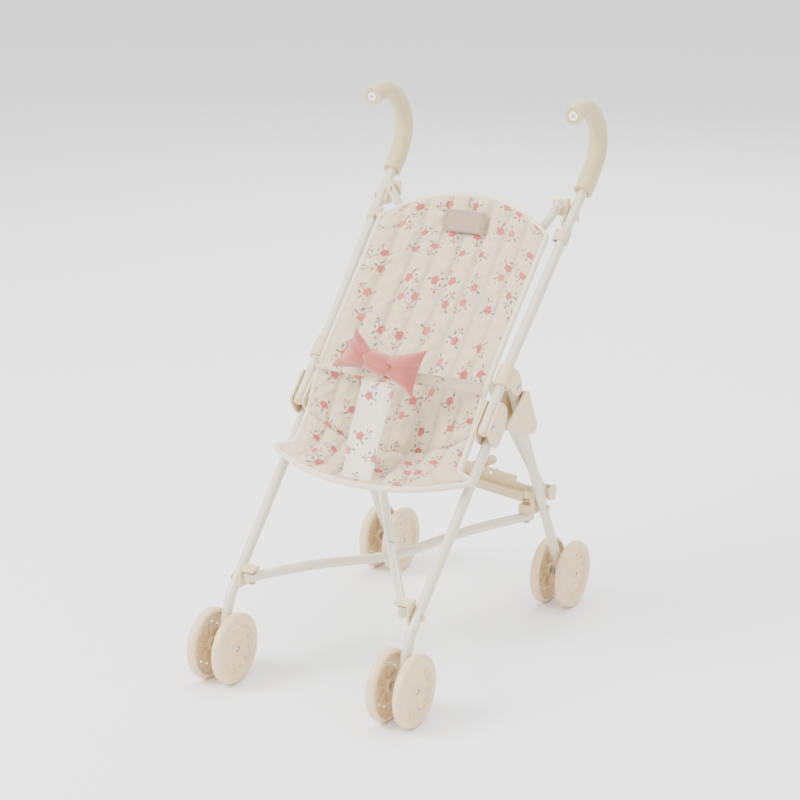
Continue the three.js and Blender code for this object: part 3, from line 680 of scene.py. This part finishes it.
def pillow(obj, pinned):
    # air pressure fills each channel; the seams stay where they are sewn
    start = [v.co.copy() for v in obj.data.vertices]
    group = obj.vertex_groups.new(name="seams")
    group.add(pinned, 1.0, "REPLACE")
    cloth = obj.modifiers.new("filling", "CLOTH")
    cloth.settings.vertex_group_mass = "seams"
    cloth.settings.use_pressure = True
    cloth.settings.uniform_pressure_force = fillingSettings["pressure"]
    cloth.settings.shrink_min = fillingSettings["shrink"]
    cloth.settings.effector_weights.gravity = 0
    cloth.settings.quality = 4
    cloth.point_cache.frame_start = 1
    cloth.point_cache.frame_end = fillingSettings["frames"]
    for f in range(1, fillingSettings["frames"] + 1):
        bpy.context.scene.frame_set(f)
    applyAll(obj)
    bpy.context.scene.frame_set(1)
    for v, home in zip(obj.data.vertices, start):
        move = v.co - home
        if move.length > fillingSettings["reach"]:
            v.co = home + move * (fillingSettings["reach"] / move.length)
    obj.vertex_groups.clear()


seatBack = quiltPanel("seatBack", backPlace, 96, 84, 0.272, 0.06, 1)
seatPan = quiltPanel("seatPan", panPlace, 96, 26, 0.07, -0.012, 1)
for piece, node in ((seatBack, "seat_back"), (seatPan, "seat_pan")):
    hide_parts(node)
print("seat quilted")


# straps, belt, label and bow

def ribbonStrip(name, path, widths, thick, material, crown=0.0, turn=None):
    # a flat strip swept along a path; turn gives the way its width lies at each point
    steps, across = len(path), 8
    clearSelection()
    bpy.ops.mesh.primitive_grid_add(x_subdivisions=across, y_subdivisions=steps - 1, size=2)
    obj = bpy.context.object
    obj.name = name
    run = [0.0]
    for a, b in zip(path, path[1:]):
        run.append(run[-1] + (Vector(b) - Vector(a)).length)
    coords, shades, homes = [], [], []
    for v in obj.data.vertices:
        k = round((v.co.y + 1) / 2 * (steps - 1))
        side = v.co.x
        along = (Vector(path[min(k + 1, steps - 1)]) - Vector(path[max(k - 1, 0)])).normalized()
        crossway = Vector(turn(k / (steps - 1))) if turn else Vector((1, 0, 0))
        crossway = (crossway - along * crossway.dot(along)).normalized()
        out = crossway.cross(along)
        homes.append(Vector(path[k]) + crossway * side * widths(k / (steps - 1)) / 2
                     + out * crown * (1 - side * side))
        coords.append((side * widths(k / (steps - 1)) / 2 + 0.4, run[k] + 0.3))
        shades.append(0.5 if abs(side) > 0.72 else 0.0)
    markCloth(obj, coords, shades)
    for v, home in zip(obj.data.vertices, homes):
        v.co = home
    wall = obj.modifiers.new("wall", "SOLIDIFY")
    wall.thickness = thick
    wall.offset = 0
    fine = obj.modifiers.new("fine", "SUBSURF")
    fine.levels = fine.render_levels = 1
    applyAll(obj)
    outwardOnly(obj)
    smooth(obj, 60)
    paint(obj, material)
    return obj


def shifted(x, y, z):
    return Vector((x / 1000, (y + depthShift) / 1000, z / 1000))


beltSettings = {"half": 95.5, "width": 0.0128, "thick": 0.0022, "steps": 65}


def makeBelt(s):
    path = []
    for k in range(s["steps"]):
        u = 2 * k / (s["steps"] - 1) - 1
        e = abs(u) ** 1.7
        ripple = 0.5 * math.sin(u * 19)
        path.append(shifted(s["half"] * u, -30 + 32 * e + ripple, 295 - 11 * e))
    belt = ribbonStrip("waistBelt", path, lambda t: s["width"], s["thick"], shadeDarkenedCotton,
                       0.0008, lambda t: (0, 0.12, 1))
    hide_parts("waist_belt")
    return belt


strapSettings = {"thick": 0.0021, "steps": 41}


def makeCrotchStrap(s):
    path = []
    for k in range(s["steps"]):
        v = k / (s["steps"] - 1)
        path.append(shifted(0, -80 + 46 * v ** 1.15 + 0.7 * math.sin(v * 11), 199.6 + 88.2 * v))
    # the strap wears the lighter copy of the seat cotton, with light painted in
    strap = ribbonStrip("crotchStrap", path, lambda t: 0.034 + 0.004 * t, s["thick"], litStrapCotton,
                        0.0008, lambda t: (-1, 0, 0))
    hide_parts("crotch_strap")
    return strap


waistBelt = makeBelt(beltSettings)
crotchStrap = makeCrotchStrap(strapSettings)


def makeLabel():
    # a blank woven patch with folded ends, sewn on near the top of the seat back
    clearSelection()
    bpy.ops.mesh.primitive_grid_add(x_subdivisions=24, y_subdivisions=14, size=2)
    obj = bpy.context.object
    obj.name = "wovenLabel"
    coords, shades, homes = [], [], []
    for v in obj.data.vertices:
        a, b = v.co.x, (v.co.y + 1) / 2
        u, t = a * 0.25, 0.845 + 0.082 * b
        n = normalAt(backPlace, u, t)
        stitch = 1 if max(abs(a), abs(2 * b - 1)) > 0.86 else 0
        lift = 0.0092 - 0.0007 * stitch + 0.0003 * noise.noise(Vector((a * 3, b * 3, 0)))
        homes.append(backPlace(u, t) + n * lift)
        coords.append((a * 0.024, b * 0.026))
        shades.append(0.7 if 0.80 < max(abs(a), abs(2 * b - 1)) < 0.93 else 0.0)
    markCloth(obj, coords, shades)
    for v, home in zip(obj.data.vertices, homes):
        v.co = home
    wall = obj.modifiers.new("wall", "SOLIDIFY")
    wall.thickness = 0.0016
    wall.offset = 0
    edge = obj.modifiers.new("edge", "BEVEL")
    edge.width = 0.0004
    edge.segments = 2
    applyAll(obj)
    outwardOnly(obj)
    smooth(obj, 50)
    paint(obj, labelWeave)
    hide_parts("label_patch")
    return obj


wovenLabel = makeLabel()

# each loop is a soft square pillow between four corners, (x, z) from the knot: near top, near foot,
# far top, far foot
bowSettings = {"centre": (2, -38, 308), "knot": (0.0165, 0.0085, 0.0105), "depth": 8.5,
               "left": [(-6, 7), (-8, -6), (-26, 32), (-53, -12)],
               "right": [(7, 6), (6, -8), (54, 20), (37, -31)]}


def makeBowLoop(side, s):
    clearSelection()
    bpy.ops.mesh.primitive_uv_sphere_add(segments=96, ring_count=64, radius=1)
    obj = bpy.context.object
    obj.name = "bowLoop" + side.capitalize()
    nearTop, nearFoot, farTop, farFoot = s[side]
    coords, shades, homes = [], [], []
    for v in obj.data.vertices:
        x, y, z = v.co
        flat = math.hypot(x, z)
        stretch = flat / max(abs(x), abs(z), 1e-6)
        t = max(0.0, min(1.0, (x * stretch + 1) / 2))
        w = (z * stretch + 1) / 2
        near = [nearFoot[i] + (nearTop[i] - nearFoot[i]) * w for i in range(2)]
        far = [farFoot[i] + (farTop[i] - farFoot[i]) * w for i in range(2)]
        px = near[0] + (far[0] - near[0]) * t
        pz = near[1] + (far[1] - near[1]) * t
        # the outer end curves in a little, and folds fan out from the knot
        px -= math.copysign(3.0, far[0]) * math.sin(math.pi * w) * t ** 2
        fold = math.sin(w * 10.5 + (0.6 if side == "left" else 2.2)) * max(0.0, 1 - t) ** 0.55
        fine = noise.noise(Vector((t * 2.2, w * 7, 5.0 if side == "left" else 9.0))) * (0.4 + t)
        deep = s["depth"] * (0.30 + 0.70 * max(0.0, math.sin(math.pi * min(1, 0.12 + t * 0.9))) ** 0.8)
        py = math.copysign(abs(y) ** 0.8, y) * deep + (2.1 * fold + 1.7 * fine) * min(1, 6 * t)
        homes.append(shifted(s["centre"][0] + px, s["centre"][1] + py, s["centre"][2] + pz))
        coords.append((px / 1000, pz / 1000 + (0.2 if y > 0 else 0)))
        shades.append(max(0.0, min(1.0, 0.75 * fold + 0.5 * (1 - t) ** 3)))
    return clothPiece(obj, homes, coords, shades, ribbonCloth)


def clothPiece(obj, homes, coords, shades, material):
    markCloth(obj, coords, shades)
    for v, home in zip(obj.data.vertices, homes):
        v.co = home
    outwardOnly(obj)
    smooth(obj, 80)
    paint(obj, material)
    return obj


def makeKnot(s):
    clearSelection()
    bpy.ops.mesh.primitive_uv_sphere_add(segments=72, ring_count=48, radius=1)
    obj = bpy.context.object
    obj.name = "bowKnot"
    homes, coords, shades = [], [], []
    for v in obj.data.vertices:
        d = v.co.copy()
        # a squarish band with long pleats, dropping a little to the right
        k = 1 / max(0.001, (abs(d.x) ** 3 + abs(d.y) ** 3 + abs(d.z) ** 3) ** (1 / 3))
        pleat = math.sin(d.z * 8 + d.x * 1.8)
        q = d * k * (1 + 0.03 * pleat)
        homes.append(shifted(*s["centre"]) + Vector((q.x * s["knot"][0], q.y * s["knot"][1] - 0.001,
                     q.z * s["knot"][2] - q.x * 0.0022)))
        coords.append((q.x * 0.014 + 0.6, q.z * 0.012))
        shades.append(max(0.0, -0.6 * pleat))
    return clothPiece(obj, homes, coords, shades, ribbonCloth)


bowPieces = [makeBowLoop("right", bowSettings), makeBowLoop("left", bowSettings),
             makeKnot(bowSettings)]
for piece in bowPieces:
    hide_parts("bow")


def makeTopStrap(sign, node):
    # a cloth loop sewn from the seat's top corner round the handle
    first, last = Vector((0, *sidePoint(224, 0))), Vector((0, *sidePoint(237, 0)))
    way = (last - first).normalized()
    middle = (first + last) / 2
    middle.x = sign * (105.5 + (middle.z * 1000 - 300) * 0.045) / 1000
    out = Vector((0, -way.z, way.y))
    clearSelection()
    bpy.ops.mesh.primitive_cylinder_add(vertices=48, radius=0.0066, depth=0.0128, end_fill_type="NOTHING")
    obj = bpy.context.object
    obj.name = "topStrapRight" if sign > 0 else "topStrapLeft"
    turn = Matrix((Vector((1, 0, 0)), out, way)).transposed().to_4x4()
    bpy.ops.object.mode_set(mode="EDIT")
    bpy.ops.mesh.select_all(action="SELECT")
    bpy.ops.mesh.subdivide(number_cuts=3)
    bpy.ops.object.mode_set(mode="OBJECT")
    coords, shades = [], []
    for v in obj.data.vertices:
        a = math.atan2(v.co.y, v.co.x)
        coords.append((a * 0.0066 + sign * 0.5, v.co.z))
        edge = abs(v.co.z) / 0.0064
        shades.append(0.6 if 0.7 < edge < 0.95 else 0.0)
        # pulled towards the seat, with a little slack
        pull = max(0, -sign * math.cos(a)) ** 3
        v.co.x += -sign * 0.003 * pull
        v.co.y += 0.0025 * pull
    markCloth(obj, coords, shades)
    obj.data.transform(Matrix.Translation(middle) @ turn)
    wall = obj.modifiers.new("wall", "SOLIDIFY")
    wall.thickness = 0.0016
    wall.offset = 1
    applyAll(obj)
    outwardOnly(obj)
    smooth(obj, 50)
    paint(obj, shadeDarkenedCotton)
    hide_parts(node)
    return obj


topStraps = {"right": makeTopStrap(1, "top_strap_right"), "left": makeTopStrap(-1, "top_strap_left")}


def makeBinding(name, points, radius):
    # a narrow bound edge along the cloth's outline
    clearSelection()
    curve = bpy.data.curves.new(name, "CURVE")
    curve.dimensions = "3D"
    spline = curve.splines.new("POLY")
    spline.points.add(len(points) - 1)
    for p, q in zip(spline.points, points):
        p.co = (*q, 1)
    curve.bevel_depth = radius
    curve.bevel_resolution = 4
    curve.use_fill_caps = True
    obj = bpy.data.objects.new(name, curve)
    bpy.context.scene.collection.objects.link(obj)
    pick(obj)
    bpy.ops.object.convert(target="MESH")
    obj = bpy.context.object
    outward(obj)
    coords = [(v.co.x + 0.7, v.co.y + v.co.z) for v in obj.data.vertices]
    markCloth(obj, coords, [0.0] * len(coords))
    smooth(obj, 60)
    paint(obj, bindingCloth)
    return obj


bindingCloth = clothMaterial("edgeBinding", (0.77, 0.68, 0.52), (0.70, 0.60, 0.44), False, 1500.0, 0.3)
backEdgeLine = [backPlace(-1, v / 60) for v in range(61)] + \
    [backPlace(u / 40, 1) for u in range(-39, 40)] + [backPlace(1, 1 - v / 60) for v in range(61)]
panEdgeLine = [panPlace(-1, 1 - v / 24) for v in range(25)] + \
    [panPlace(u / 40, 0) for u in range(-39, 40)] + [panPlace(1, v / 24) for v in range(25)]
backBinding = makeBinding("backBinding", backEdgeLine, 0.0031)
panBinding = makeBinding("panBinding", panEdgeLine, 0.0034)

# what follows the fold

for piece in (seatBack, backBinding, waistBelt):
    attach(piece, "sling")
    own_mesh(piece)
for piece in (seatPan, panBinding):
    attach(piece, "sling_pan")
    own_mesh(piece)
for piece in (wovenLabel, *bowPieces):
    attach(piece, "sling")
for side, piece in topStraps.items():
    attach(piece, "handle_" + side)
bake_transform(crotchStrap)
print("soft goods in place")

placeCamera(cameraSettings)
placeLamps(lampSettings)

bpy.ops.mesh.primitive_plane_add(size=80, location=(0, 0, 0))
floor = bpy.context.object
floor.name = "studioFloor"
floorMaterial, floorTree, floorShader = startMaterial("studioFloor")
floorGrain = useGroup(floorTree, surfaceGrain, {"Grain": 60.0, "Patch": 1.2})
floorTree.links.new(mixColour(floorTree, floorGrain.outputs["Mask"], (0.93, 0.93, 0.93, 1),
                    (0.91, 0.91, 0.915, 1)), floorShader.inputs["Base Color"])
floorShader.inputs["Roughness"].default_value = 0.75
paint(floor, floorMaterial)
print("studio ready")
